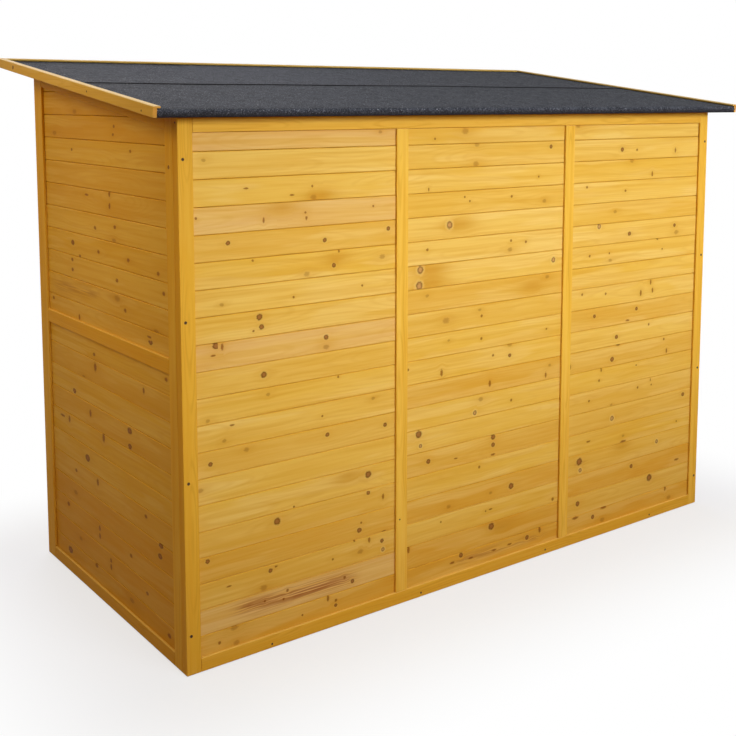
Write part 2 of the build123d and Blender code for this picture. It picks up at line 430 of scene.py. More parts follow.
honeyBoards = {
    "pale": colour(238, 198, 96),
    "golden": colour(234, 188, 72),
    "tan": colour(231, 185, 80),
    "deep": colour(224, 167, 57),
    "rosy": colour(232, 190, 114),
    "cloudTint": colour(242, 206, 106),
    "patchTint": colour(245, 212, 122),
    "bandTint": colour(222, 167, 52),
    "streakTint": colour(244, 222, 178),
    "ringTint": colour(216, 160, 56),
    "stain": colour(208, 150, 40),
    "pith": colour(166, 96, 50),
    "knot": colour(136, 66, 10),
    "rim": colour(104, 48, 8),
    "heart": colour(198, 148, 86),
    # painted shade on the V joints' bevels
    "edgeHighlightAndShade": colour(236, 182, 52),
    "endGrain": colour(214, 156, 66),
    "ringWidth": 0.0056,
    "ringDepth": 0.20,
    "patchDepth": 0.50,
}
boardFinish = stainedWood("honeyBoards", honeyBoards)

honeyFraming = {
    "pale": colour(244, 198, 78),
    "golden": colour(238, 186, 60),
    "tan": colour(234, 180, 56),
    "deep": colour(226, 168, 50),
    "rosy": colour(236, 186, 72),
    "cloudTint": colour(240, 190, 66),
    "patchTint": colour(246, 206, 104),
    "bandTint": colour(226, 166, 44),
    "streakTint": colour(246, 220, 160),
    "ringTint": colour(204, 144, 34),
    "stain": colour(206, 142, 34),
    "pith": colour(150, 90, 36),
    "knot": colour(128, 66, 14),
    "rim": colour(104, 50, 8),
    "heart": colour(200, 142, 80),
    # painted highlight on the tops of members
    "edgeHighlightAndShade": colour(246, 206, 104),
    "endGrain": colour(206, 142, 52),
    "ringWidth": 0.0048,
    "ringDepth": 0.30,
    "patchDepth": 0.15,
}
framingFinish = stainedWood("honeyFraming", honeyFraming)

honeyTrim = {
    "pale": colour(238, 202, 112),
    "golden": colour(234, 194, 94),
    "tan": colour(230, 190, 92),
    "deep": colour(222, 178, 84),
    "rosy": colour(232, 198, 116),
    "cloudTint": colour(240, 208, 120),
    "patchTint": colour(248, 222, 150),
    "bandTint": colour(224, 182, 86),
    "streakTint": colour(246, 226, 180),
    "ringTint": colour(214, 168, 72),
    "stain": colour(206, 148, 50),
    "pith": colour(150, 92, 44),
    "knot": colour(130, 70, 20),
    "rim": colour(106, 54, 12),
    "heart": colour(204, 150, 92),
    # painted highlight on the tops of the trim
    "edgeHighlightAndShade": colour(252, 230, 172),
    "endGrain": colour(206, 140, 54),
    "ringWidth": 0.0036,
    "ringDepth": 0.40,
    "patchDepth": 0.35,
}
trimFinish = stainedWood("honeyTrim", honeyTrim)

sawnTimber = {
    "boardWidth": 0.090,
    "ringWidth": 0.007,
    "pale": colour(226, 198, 150),
    "dark": colour(196, 158, 104),
    "joint": colour(92, 66, 38),
    "ringDepth": 0.5,
    "seedStep": 0.618,     # from one board to the next
    "jointEdge": (0.485, 0.495),  # from a board's middle, in its widths
    "roughness": (0.2, 0.8, 0.65, 0.85),
    "bump": (0.5, 0.0012),
}


def makeSawnTimber():
    # bare roof boards: sawn softwood with a joint every board width, across the slope
    material, tree, surface = newMaterial("sawnTimber")
    place = objectPlace(tree)
    course = separate(place)[1] / sawnTimber["boardWidth"]
    seed = calc("FRACT", calc("FLOOR", course) * sawnTimber["seedStep"])
    figure = placeGroup(tree, woodFigure, {
        "Grain": place, "Seed": seed, "Warp": 0.0, "Ring Width": sawnTimber["ringWidth"],
    })
    base = mixColour(figure["Streaks"], sawnTimber["pale"], sawnTimber["dark"])
    base = mixColour(figure["Rings"] * sawnTimber["ringDepth"], base, sawnTimber["dark"])
    joint = fade(calc("ABSOLUTE", calc("FRACT", course) - 0.5), *sawnTimber["jointEdge"])
    put(surface["Base Color"], mixColour(joint, base, sawnTimber["joint"]))
    put(surface["Roughness"], fade(figure["Fibre"], *sawnTimber["roughness"]))
    addBump(surface, figure["Height"] - joint, *sawnTimber["bump"])
    return material


timberFinish = makeSawnTimber()

mineralFelt = {
    "grainSize": 0.0022,
    "ground": colour(69, 73, 81),
    "dark": colour(50, 53, 59),
    "light": colour(106, 110, 118),
    "bitumen": colour(36, 34, 35),
    "glint": colour(146, 150, 158),
    "patchScale": 26.0,
    "patchDark": (0.35, 0.68),
    "lightShare": (0.55, 1.0, 0.0, 0.65),    # granules by their random value, and how far they take a colour
    "darkShare": (0.0, 0.4, 0.8, 0.0),
    "glintShare": (0.955, 0.980, 0.0, 0.8),
    "bareShadeShare": 1.1,      # painted shade and bare bitumen on the fold, less on what is left of the granules
    "bareShadeGrain": 0.25,
    "roughness": (0.0, 1.0, 0.95, 0.75),
    "specular": 0.06,
    "bump": (0.6, 0.0008),
}


def makeFelt():
    # bitumen felt with pressed-in slate granules, painted to bitumen colour where it is folded over the eave
    # and along the upper sheet's lower edge: partly granules worn thin, partly painted shade
    material, tree, surface = newMaterial("mineralFelt")
    place = objectPlace(tree)
    pick, glint = cellPicks(place, mineralFelt["grainSize"])[:2]
    patches = noise(place, scale=mineralFelt["patchScale"], detail=4.0, roughness=0.62)
    base = mixColour(fade(patches, *mineralFelt["patchDark"]), mineralFelt["ground"], mineralFelt["dark"])
    for value, tone in ((pick, "light"), (pick, "dark"), (glint, "glint")):
        base = mixColour(fade(value, *mineralFelt[tone + "Share"]), base, mineralFelt[tone])
    # the fold and the seam take bitumen colour: partly bare, partly painted shade
    bareAndShade = attribute(tree, "bareAndShade") * mineralFelt["bareShadeShare"] + pick * -mineralFelt["bareShadeGrain"]
    put(surface["Base Color"], mixColour(bareAndShade, base, mineralFelt["bitumen"]))
    put(surface["Roughness"], fade(pick, *mineralFelt["roughness"]))
    surface["Specular IOR Level"].default_value = mineralFelt["specular"]
    addBump(surface, pick, *mineralFelt["bump"])
    return material


feltFinish = makeFelt()

galvanised = {
    "pale": colour(176, 180, 184),
    "dull": colour(140, 145, 150),
    "spangle": 0.011,      # size of a crystal
    "spangleShare": 0.4,   # of the crystals in the gloss, beside the smears
    "smearScale": 140.0,
    "roughness": (0.3, 1.1, 0.28, 0.50),
    "bump": (0.12, 0.0004),
}


def makeGalvanised():
    # zinc with its faint crystal spangle
    material, tree, surface = newMaterial("galvanisedSteel")
    place = objectPlace(tree)
    pick = cellPicks(place, galvanised["spangle"])[0]
    smear = noise(place, scale=galvanised["smearScale"], detail=3.0)
    put(surface["Base Color"], mixColour(pick, galvanised["dull"], galvanised["pale"]))
    put(surface["Roughness"], fade(pick * galvanised["spangleShare"] + smear, *galvanised["roughness"]))
    surface["Metallic"].default_value = 1.0
    addBump(surface, smear, *galvanised["bump"])
    return material


steelFinish = makeGalvanised()

screwSteel = {
    "body": colour(82, 58, 32),
    "worn": colour(110, 84, 52),
    # painted shadow of the screw slots
    "slot": colour(42, 28, 14),
    "wearScale": 420.0,
    "wear": (0.4, 0.7),
    "roughness": (0.3, 0.7, 0.50, 0.70),
    "metallic": 0.15,
    "specular": 0.2,
    "dustScale": 900.0,
    "dust": 0.4,
    "slotRoughness": 0.9,
}


def makeScrewSteel():
    # dulled screw heads, worn a little unevenly
    material, tree, surface = newMaterial("screwSteel")
    wear = noise(objectPlace(tree), scale=screwSteel["wearScale"])
    worn = fade(wear, *screwSteel["wear"])
    put(surface["Base Color"], mixColour(worn, screwSteel["body"], screwSteel["worn"]))
    put(surface["Roughness"], fade(wear, *screwSteel["roughness"]))
    surface["Metallic"].default_value = screwSteel["metallic"]
    surface["Specular IOR Level"].default_value = screwSteel["specular"]
    return material


def makeSlotShadow():
    # dark bars over the screw heads: painted shadow of the slots, with a little dust
    material, tree, surface = newMaterial("screwSlotShadow")
    dust = noise(objectPlace(tree), scale=screwSteel["dustScale"]) * screwSteel["dust"]
    put(surface["Base Color"], mixColour(dust, screwSteel["slot"], screwSteel["body"]))
    surface["Roughness"].default_value = screwSteel["slotRoughness"]
    return material


screwFinish = makeScrewSteel()
slotShadowFinish = makeSlotShadow()
print("materials made")


# meshes and their attributes
def newObject(name, mesh):
    thing = bpy.data.objects.new(name, mesh)
    bpy.context.scene.collection.objects.link(thing)
    return thing


def takeMesh(shape, name):
    mesh = bpy.data.meshes.new(name)
    shape.to_mesh(mesh)
    shape.free()
    return mesh


def mergedCopy(node):
    # a CAD node's loose triangles as closed solids
    shape = bmesh.new()
    shape.from_mesh(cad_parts[node].data)
    bmesh.ops.remove_doubles(shape, verts=shape.verts, dist=1e-6)
    return shape


def vectors(items, name):
    values = numpy.empty(len(items) * 3)
    items.foreach_get(name, values)
    return values.reshape(-1, 3)


def setLayer(mesh, name, values, kind="FLOAT", domain="POINT"):
    layer = mesh.attributes.new(name, kind, domain)
    layer.data.foreach_set("vector" if kind == "FLOAT_VECTOR" else "value", numpy.ravel(values))


def growMesh(thing, tree, inputs):
    # runs a geometry tree on an object and leaves the result as its plain mesh
    modifier = thing.modifiers.new("grow", "NODES")
    modifier.node_group = tree
    sockets = {item.name: item.identifier for item in tree.interface.items_tree if item.in_out == "INPUT"}
    for name, value in inputs.items():
        modifier[sockets[name]] = value
    graph = bpy.context.evaluated_depsgraph_get()
    grown = thing.evaluated_get(graph)
    mesh = bpy.data.meshes.new_from_object(grown, preserve_all_data_layers=True, depsgraph=graph)
    thing.modifiers.clear()
    thing.data = mesh
    while None in mesh.materials[:]:
        mesh.materials.pop(index=mesh.materials[:].index(None))
    return mesh


def joinObjects(first, others):
    with bpy.context.temp_override(active_object=first, selected_editable_objects=[first] + others):
        bpy.ops.object.join()
    return first


def finishPiece(thing, slot, *nodes):
    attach(thing, "root")
    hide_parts(*nodes)


# boards: one geometry tree lays a panel of bevelled boards, left to right as seen from outside
boarding = {
    "pitch": 0.0671,
    "bevel": 0.0014,       # each edge of the V joint
    "gap": 0.0011,         # open at the face and closed by the tongue behind it
    "stagger": 0.0006,     # boards stand in or out by up to this much
    "segment": 0.016,      # length of one step along a board
    "levels": 7,           # steps across a board, the first and last are its bevels
    "knotsPerMetre": 6.0,  # on each board of the walls that the photo doesn't show
    "stainLength": 3.4,    # stain round a knot, in the knot's half widths along and across
    "stainHeight": 1.8,
    "stainMost": 0.8,
    "bevelShade": 0.6,     # painted shade: the V joints' bevels are painted deeper in tone
    "bevelRise": (0.3, 0.95),  # and are the faces whose normals rise or fall this much
    "rowStep": 1.618,      # spreads the boards' seeds
    "seedStep": 17.3,
    "plainShades": (0.05, 0.5),
    "groundShadeHeight": 1.0,     # painted shade: up to this height boards are painted deeper in tone towards the ground
    "groundShadeTone": 0.50,
}


def store(geometry, name, value, domain, kind="FLOAT_VECTOR"):
    values = {"Geometry": geometry, "Name": name, "Value": value}
    return geo(geometry.tree, "StoreNamedAttribute", values, domain=domain, data_type=kind)


def makeBoardTree():
    tree, given, result = newTree("boardPanel", "GeometryNodeTree", {
        "Knots": "Geometry", "Length": "Float", "Rows": "Int", "Segments": "Int", "Pitch": "Float",
        "Thickness": "Float", "Bevel": "Float", "Gap": "Float", "Stagger": "Float", "Seed": "Int",
        "Place": "Vector", "Turn": "Float", "Finish": "Material",
    }, {"Geometry": "Geometry"})
    pitch, bevel, gap, thickness = (given[name] for name in ("Pitch", "Bevel", "Gap", "Thickness"))
    levels = boarding["levels"]

    # a blank board, drawn as a block whose outer long edges are then bevelled
    blank = geo(tree, "MeshCube", {
        "Size": combine(given["Length"], thickness, float(levels)),
        "Vertices X": given["Segments"], "Vertices Y": 2, "Vertices Z": levels + 1,
    })
    spot = geo(tree, "InputPosition")
    x, y, z = separate(spot)
    level = z + levels / 2
    low = calc("LESS_THAN", level, 0.5)
    high = calc("GREATER_THAN", level, levels - 0.5)
    outside = calc("LESS_THAN", y, 0.0)
    share = calc("MINIMUM", calc("MAXIMUM", (level - 1.0) / (levels - 2.0), 0.0), 1.0)
    tongue = high * (1.0 - outside) * gap
    up = share * (pitch - gap - bevel - bevel) + bevel + (high - low) * bevel + tongue
    inward = thickness * 0.5 + y + outside * (low + high) * bevel
    along = given["Length"] * 0.5 + x
    board = geo(tree, "SetPosition", {"Geometry": blank, "Position": combine(along, inward, up)})

    # its row of places, each with a seed of its own
    rows = geo(tree, "MeshLine", {"Count": given["Rows"], "Offset": combine(z=pitch)})
    laid = geo(tree, "InstanceOnPoints", {"Points": rows, "Instance": board})
    offset = given["Seed"] * boarding["seedStep"]
    draw = calc("MULTIPLY_ADD", geo(tree, "InputIndex"), boarding["rowStep"], offset)
    chance = firstOutput(addNode(tree, "ShaderNodeTexWhiteNoise", {"W": draw}, noise_dimensions="1D"))
    push = geo(tree, "TranslateInstances", {
        "Instances": laid, "Translation": combine(y=chance * given["Stagger"]),
    })
    seeded = store(push, "boardSeed", chance, "INSTANCE", "FLOAT")
    solid = geo(tree, "RealizeInstances", {"Geometry": seeded})

    def spread(vector):
        # rows set a metre apart, so that the nearest knot is one on the same board
        across, above = separate(vector)[::2]
        row = calc("FLOOR", above / pitch)
        return combine(across, 0.0, above + row), row

    # grain runs along the board, and every face knows its nearest knot on the same board
    centre = geo(tree, "FieldOnDomain", {"Value": spot}, domain="FACE", data_type="FLOAT_VECTOR")
    search, row = spread(centre)
    solid = store(solid, "grain", combine(x, z - (row + 0.5) * pitch, y), "CORNER")
    apart = geo(tree, "SetPosition", {"Geometry": given["Knots"], "Position": spread(spot)[0]})
    nearest = geo(tree, "SampleNearest", {"Geometry": apart, "Sample Position": search}, domain="POINT")

    def knotValue(value):
        values = {"Geometry": given["Knots"], "Value": value, "Index": nearest}
        return geo(tree, "SampleIndex", values, data_type="FLOAT_VECTOR", domain="POINT")

    def knotAttribute(name):
        return knotValue(geo(tree, "InputNamedAttribute", {"Name": name}, data_type="FLOAT_VECTOR"))

    knot = knotValue(spot)
    knotX, knotZ = separate(knot)[::2]
    halfLength, halfHeight = separate(knotAttribute("halfWidths"))[:2]
    sameRow = calc("COMPARE", spread(knot)[1], row, 0.5)
    place = combine((x - knotX) / halfLength, (z - knotZ) / halfHeight, halfHeight * sameRow)
    solid = store(solid, "knotPlace", place, "CORNER")
    solid = store(solid, "knotTone", knotAttribute("tone"), "CORNER")

    # the panel goes to its wall
    hung = geo(tree, "Transform", {
        "Geometry": solid, "Translation": given["Place"], "Rotation": combine(z=given["Turn"]),
    })
    whole = geo(tree, "RealizeInstances", {"Geometry": hung})
    put(result["Geometry"], geo(tree, "SetMaterial", {"Geometry": whole, "Material": given["Finish"]}))
    return tree


boardTree = makeBoardTree()

# roof slope, read from the tops of the walls
backLow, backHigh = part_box("back_left_post")
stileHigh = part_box("left_end_front_stile")[1]
roofSlope = math.atan2(stileHigh.z - backHigh.z, stileHigh.y - backHigh.y)
roofUp = Vector((0, math.cos(roofSlope), math.sin(roofSlope)))
roofOut = Vector((0, -math.sin(roofSlope), math.cos(roofSlope)))
backHeight = backHigh.z - (backHigh.y - backLow.y) * math.tan(roofSlope)
roofOrigin = Vector((0, backLow.y, backHeight))

# knots: share of half width along and across, darkness, rim, stain
knotKinds = {
    "eye": (1.05, 1.0, 0.85, 0.86, 0.34),
    "ring": (1.0, 1.05, 0.85, 1.0, 0.30),
    "speck": (1.2, 1.2, 0.74, 0.0, 0.20),
    "spike": (0.9, 1.9, 0.74, 0.0, 0.26),
    "dash": (2.6, 0.9, 0.76, 0.0, 0.20),
    "patch": (1.7, 1.2, 0.34, 0.0, 0.45),
    "stain": (2.2, 1.5, 0.0, 0.0, 0.75),
}
# on walls that the photo doesn't show, by their share and with half heights in millimetres
drawnKinds = ["eye", "ring", "speck", "speck", "speck", "spike", "dash", "patch", "patch"]
drawnHalves = {
    "eye": (5, 8), "ring": (5, 9), "speck": (3, 4), "spike": (4, 6), "dash": (3, 4), "patch": (4, 6),
}
knotStretch = {"left": (1.9, 1.25)}  # knots of the end wall are longer along its boards
# knots as the photo shows them: pixel x, pixel y, half height in millimetres
knotsSeen = {
    "back_left_cladding": {
        "eye": [(257, 315, 7), (259, 325, 6), (214, 344, 8), (207, 464, 5), (365, 475, 8), (385, 226, 5),
                (322, 238, 5), (261, 373, 7), (273, 523, 8), (203, 564, 5), (331, 263, 5), (323, 335, 6),
                (382, 424, 5), (324, 434, 5), (365, 494, 5), (356, 533, 6), (379, 544, 5), (227, 242, 5),
                (349, 586, 5), (332, 611, 4), (266, 574, 5)],
        "ring": [(380, 553, 5)],
        "speck": [(310, 185, 3), (370, 204, 3), (303, 211, 3), (196, 218, 3), (251, 259, 3), (336, 249, 3),
                  (359, 283, 3), (291, 295, 3), (251, 329, 3), (335, 375, 3), (319, 415, 3), (290, 508, 3),
                  (358, 525, 3), (351, 544, 3), (329, 563, 3), (260, 606, 3), (298, 621, 3), (214, 649, 4),
                  (341, 582, 4), (332, 606, 4), (279, 604, 3), (283, 595, 4)],
        "spike": [(304, 216, 4), (262, 219, 4), (220, 345, 5), (380, 498, 5), (366, 543, 5), (324, 604, 5)],
        "dash": [(245, 188, 3), (290, 194, 3), (211, 354, 3), (229, 424, 3), (381, 534, 3), (271, 570, 3),
                 (224, 590, 3)],
        "patch": [(311, 196, 6), (379, 254, 6), (304, 272, 6), (197, 491, 5), (357, 555, 6), (259, 592, 7),
                  (231, 649, 6), (229, 633, 7), (243, 449, 5), (265, 393, 4), (205, 420, 4), (323, 345, 6),
                  (221, 440, 4), (220, 303, 4), (377, 131, 4), (204, 161, 4), (370, 397, 4)],
        "stain": [(319, 194, 7), (280, 206, 8), (333, 256, 6), (345, 477, 7)],
    },
    "back_middle_cladding": {
        "eye": [(547, 143, 5), (416, 434, 9), (492, 437, 7), (492, 445, 6), (426, 462, 6), (511, 488, 8),
                (491, 530, 9), (508, 353, 5), (460, 560, 6), (528, 542, 6)],
        "ring": [(446, 222, 9), (551, 256, 7), (417, 267, 9), (416, 283, 10), (418, 446, 5), (473, 412, 6)],
        "speck": [(431, 137, 3), (535, 173, 3), (461, 194, 3), (466, 198, 3), (508, 193, 4), (508, 237, 4),
                  (523, 238, 4), (424, 247, 4), (479, 313, 4), (545, 326, 3), (479, 336, 4), (491, 353, 4),
                  (510, 399, 4), (478, 468, 4), (485, 514, 3), (439, 525, 3), (554, 502, 5), (405, 368, 4)],
        "spike": [(439, 371, 6), (488, 382, 6), (545, 373, 5), (406, 554, 6), (541, 534, 6), (425, 187, 3)],
        "dash": [(492, 455, 4), (454, 459, 3), (490, 512, 3), (451, 568, 4), (470, 563, 4), (510, 549, 4),
                 (494, 555, 4), (523, 238, 4)],
        "patch": [(461, 129, 8), (473, 142, 6), (472, 161, 7), (541, 197, 5), (507, 246, 6), (443, 318, 8),
                  (508, 342, 6), (479, 398, 6), (447, 509, 5), (490, 495, 4), (424, 293, 4), (549, 363, 4),
                  (545, 273, 5), (477, 307, 4), (446, 338, 3)],
        "stain": [(458, 221, 8), (430, 266, 8), (430, 280, 8), (530, 282, 8), (503, 530, 7)],
    },
    "back_right_cladding": {
        "eye": [(619, 145, 6), (628, 229, 6), (637, 305, 5), (594, 313, 5), (617, 334, 6), (613, 357, 7),
                (687, 393, 6), (581, 463, 10), (635, 468, 6), (654, 480, 10), (580, 507, 7), (596, 521, 6),
                (674, 220, 5)],
        "ring": [(614, 418, 7), (661, 442, 6), (582, 472, 6), (597, 222, 7)],
        "speck": [(634, 145, 4), (584, 183, 4), (623, 186, 4), (657, 234, 4), (662, 244, 3), (588, 252, 4),
                  (608, 249, 3), (581, 291, 4), (605, 290, 4), (650, 321, 4), (666, 336, 4), (600, 379, 4),
                  (638, 363, 3), (640, 386, 4), (654, 383, 3), (590, 400, 4), (681, 421, 3)],
        "spike": [(673, 145, 5), (650, 169, 5), (651, 278, 5), (653, 286, 5), (641, 289, 6), (669, 348, 5),
                  (602, 368, 4), (570, 365, 5), (671, 491, 6), (653, 378, 3)],
        "dash": [(628, 317, 4), (619, 342, 4), (626, 442, 6), (682, 461, 5), (578, 522, 6), (590, 442, 4),
                 (607, 511, 6)],
        "patch": [(574, 122, 6), (629, 156, 6), (613, 207, 5), (676, 227, 7), (609, 256, 5), (675, 501, 7),
                  (606, 524, 7), (613, 404, 4), (626, 436, 4)],
        "stain": [(625, 447, 6)],
    },
    "left_end_upper_cladding": {
        "eye": [(149, 340, 5), (72, 239, 5)],
        "speck": [(116, 126, 3), (115, 134, 3), (73, 147, 3), (132, 151, 3), (95, 225, 4), (115, 225, 4),
                  (98, 249, 4), (79, 253, 4), (71, 256, 4), (71, 266, 4), (128, 258, 4), (158, 272, 4),
                  (116, 278, 4), (51, 294, 4), (163, 292, 4), (124, 308, 4)],
        "spike": [(77, 314, 4), (110, 192, 4), (110, 204, 4)],
        "dash": [(87, 192, 3), (148, 335, 3)],
        "patch": [(77, 110, 5), (116, 296, 6), (114, 238, 4), (56, 130, 5), (155, 330, 5)],
    },
    "left_end_lower_cladding": {
        "eye": [(70, 389, 5), (126, 430, 6), (126, 446, 5), (82, 458, 7), (62, 554, 7), (156, 548, 5),
                (155, 559, 5)],
        "speck": [(164, 378, 4), (91, 352, 4), (70, 471, 4), (61, 506, 5), (141, 518, 4), (89, 570, 5),
                  (141, 598, 4), (163, 642, 5), (125, 559, 4)],
        "spike": [(92, 365, 6), (141, 389, 4), (86, 412, 5), (64, 418, 5), (99, 437, 6), (92, 483, 5),
                  (93, 531, 4), (93, 539, 4), (104, 565, 4), (104, 571, 4)],
        "dash": [(57, 414, 4)],
        "patch": [(69, 494, 5), (80, 375, 4), (125, 606, 5), (73, 542, 4)],
    },
}
# dark streaks along a board: pixel x and y of both ends, half height in millimetres, darkness
streaksSeen = {
    "back_left_cladding": [(231, 615, 350, 582, 19, 0.8), (282, 604, 331, 590, 10, 0.9),
                           (232, 613, 250, 609, 6, 1.0)],
    "back_middle_cladding": [(452, 568, 545, 538, 9, 0.6)],
    "back_right_cladding": [(596, 462, 578, 465, 3, 0.6)],
    "left_end_upper_cladding": [(52, 280, 96, 292, 12, 0.5)],
}
# boards whose shade stands out in the photo, counted from the ground: 0 pale, 1 rosy
shadesSeen = {
    "back_left_cladding": {0: 0.6, 1: 1.0, 3: 0.45, 7: 0.5, 8: 0.1, 9: 0.2, 11: 0.97, 12: 0.5, 13: 0.1,
                           15: 0.66, 16: 1.0, 17: 0.2, 18: 0.05, 19: 0.97},
    "back_middle_cladding": {0: 0.6, 3: 0.5, 5: 0.5, 6: 0.1, 8: 0.66, 11: 0.5, 12: 0.64, 13: 0.1, 14: 0.0,
                             15: 0.0, 16: 0.5, 18: 0.5},
    "back_right_cladding": {0: 0.65, 1: 0.2, 2: 0.55, 8: 0.55, 9: 0.1, 10: 0.62, 11: 0.15, 13: 0.2, 14: 0.1,
                            15: 0.5, 17: 0.4, 18: 0.1, 19: 0.1},
    # the end wall's boards are mostly set deeper in tone: partly their own tone, partly painted shade of that
    # side
    "left_end_upper_cladding": {0: 0.6, 1: 0.5, 2: 0.1, 3: 0.35, 4: 0.1, 5: 0.62, 6: 0.6, 8: 0.66, 9: 0.7},
    "left_end_lower_cladding": {0: 0.7, 1: 0.7, 2: 0.6, 3: 0.7, 6: 0.2, 7: 0.55, 8: 0.2, 9: 0.58, 10: 0.3},
}


def panelPlace(side, low, high):
    # the lower left corner of a panel's outer face as seen from outside, its turn, width and thickness
    width, depth = high.x - low.x, high.y - low.y
    if side == "back":
        return Vector((low.x, low.y, low.z)), 0.0, width, depth
    if side == "left":
        return Vector((low.x, high.y, low.z)), -math.pi / 2, depth, width
    if side == "right":
        return Vector((high.x, low.y, low.z)), math.pi / 2, depth, width
    return Vector((high.x, high.y, low.z)), math.pi, width, depth


def pixelOnPanel(x, y, origin, turn):
    # a pixel of the photo on a panel's outer face, along and up from its lower left corner
    outward = Matrix.Rotation(turn, 3, "Z") @ Vector((0, -1, 0))
    return Matrix.Rotation(-turn, 3, "Z") @ (pixelOnPlane(x, y, origin, outward) - origin)


def seenKnots(panel, side, origin, turn):
    # the photo's knots on this panel, as (along, up, half width, half height, tone)
    longer, taller = knotStretch.get(side, (1.0, 1.0))
    knots = []
    for kind, places in knotsSeen[panel].items():
        wide, tall, *tone = knotKinds[kind]
        for x, y, half in places:
            spot = pixelOnPanel(x, y, origin, turn)
            size = half / 1000
            knots.append((spot.x, spot.z, wide * longer * size, tall * taller * size, tone))
    return knots


def drawnKnots(width, height, seed):
    # knots for a panel that the photo doesn't show, drawn with a fixed seed
    draw = random.Random(seed)
    knots = []
    for place in range(round(width * height / boarding["pitch"] * boarding["knotsPerMetre"])):
        kind = draw.choice(drawnKinds)
        size = draw.uniform(*drawnHalves[kind]) / 1000
        wide, tall, *tone = knotKinds[kind]
        knots.append((draw.uniform(0, width), draw.uniform(0, height), wide * size, tall * size, tone))
    return knots


def paintBoards(mesh, knots, origin, turn, seen, seed):
    # soft stains round the knots, dark streaks, a shade for each board deepened towards the ground as painted
    # shade, and painted shade on the bevels
    local = (vectors(mesh.vertices, "co") - numpy.array(origin)) @ numpy.array(Matrix.Rotation(turn, 3, "Z"))
    along, above = local[:, 0], local[:, 2]
    rows = numpy.floor((above + boarding["gap"] / 2) / boarding["pitch"]).astype(int)
    stain = numpy.zeros(len(rows))
    for x, up, wide, tall, tone in knots:
        sameBoard = rows == math.floor(up / boarding["pitch"])
        lengthwise = (along - x) / (boarding["stainLength"] * wide)
        crosswise = (above - up) / (boarding["stainHeight"] * tall)
        stain += tone[-1] * sameBoard * numpy.exp(-lengthwise ** 2 - crosswise ** 2)
    setLayer(mesh, "stain", numpy.minimum(stain, boarding["stainMost"]))
    pith = numpy.zeros(len(rows))
    for startX, startY, endX, endY, half, darkness in streaksSeen.get(seen, []):
        start, end = pixelOnPanel(startX, startY, origin, turn), pixelOnPanel(endX, endY, origin, turn)
        share = (along - start.x) / (end.x - start.x)
        crosswise = (above - start.z - share * (end.z - start.z)) * 1000 / half
        lengthwise = 2 * share - 1
        sameBoard = rows == math.floor((start.z + end.z) / 2 / boarding["pitch"])
        pith = numpy.maximum(pith, darkness * sameBoard * numpy.exp(-crosswise ** 2 - lengthwise ** 8))
    setLayer(mesh, "pith", pith)
    draw = random.Random(seed)
    shades = shadesSeen.get(seen, {})
    tones = [shades.get(row, draw.uniform(*boarding["plainShades"])) for row in range(rows.max() + 1)]
    # painted shade: boards deeper in tone towards the ground
    groundShade = boarding["groundShadeTone"] * numpy.clip(1 - (origin.z + above) / boarding["groundShadeHeight"], 0, 1) ** 2
    tone = numpy.array(tones)[rows]
    deep = shadeStops["deep"]
    setLayer(mesh, "boardShade", numpy.where(tone < deep, numpy.minimum(tone + groundShade, deep), tone))
    rise = abs(vectors(mesh.polygons, "normal")[:, 2])
    least, most = boarding["bevelRise"]
    # painted shade: bevel faces, found by their sloping normals, are painted deeper
    setLayer(mesh, "edgeHighlightAndShade", boarding["bevelShade"] * ((rise > least) & (rise < most)), domain="FACE")


def knotPoints(knots):
    # a mesh of bare points that carries the knots into the geometry tree
    mesh = bpy.data.meshes.new("knots")
    mesh.from_pydata([(along, 0, up) for along, up, wide, tall, tone in knots], [], [])
    setLayer(mesh, "halfWidths", [(wide, tall, 0) for along, up, wide, tall, tone in knots], "FLOAT_VECTOR")
    setLayer(mesh, "tone", [tone for along, up, wide, tall, tone in knots], "FLOAT_VECTOR")
    return mesh


def islands(node):
    # the lowest and highest corner of each separate solid in a CAD node
    shape = mergedCopy(node)
    left = set(shape.verts)
    boxes = []
    while left:
        group, front = set(), [left.pop()]
        while front:
            vert = front.pop()
            group.add(vert)
            near = [edge.other_vert(vert) for edge in vert.link_edges]
            fresh = [other for other in near if other in left]
            left.difference_update(fresh)
            front.extend(fresh)
        spans = list(zip(*[vert.co for vert in group]))
        boxes.append((Vector([min(span) for span in spans]), Vector([max(span) for span in spans])))
    shape.free()
    return sorted(boxes, key=lambda box: (box[0].z, box[0].x))


def cutTop(mesh, point, normal):
    # cuts the topmost boards to the panel's edge and closes them again
    shape = bmesh.new()
    shape.from_mesh(mesh)
    everything = shape.verts[:] + shape.edges[:] + shape.faces[:]
    cut = bmesh.ops.bisect_plane(shape, geom=everything, plane_co=point, plane_no=normal, clear_outer=True)
    rims = [edge for edge in cut["geom_cut"] if isinstance(edge, bmesh.types.BMEdge)]
    bmesh.ops.contextual_create(shape, geom=rims)
    bmesh.ops.holes_fill(shape, edges=[edge for edge in shape.edges if edge.is_boundary])
    shape.to_mesh(mesh)
    shape.free()


# how far the end boards stop below the roof, measured square to it
roofEdge = Vector((0, stileHigh.y, stileHigh.z))
endTop = max(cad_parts["left_end_upper_cladding"].data.vertices, key=lambda vert: vert.co.z).co
topCover = (roofEdge - Vector((0, endTop.y, endTop.z))).dot(roofOut)


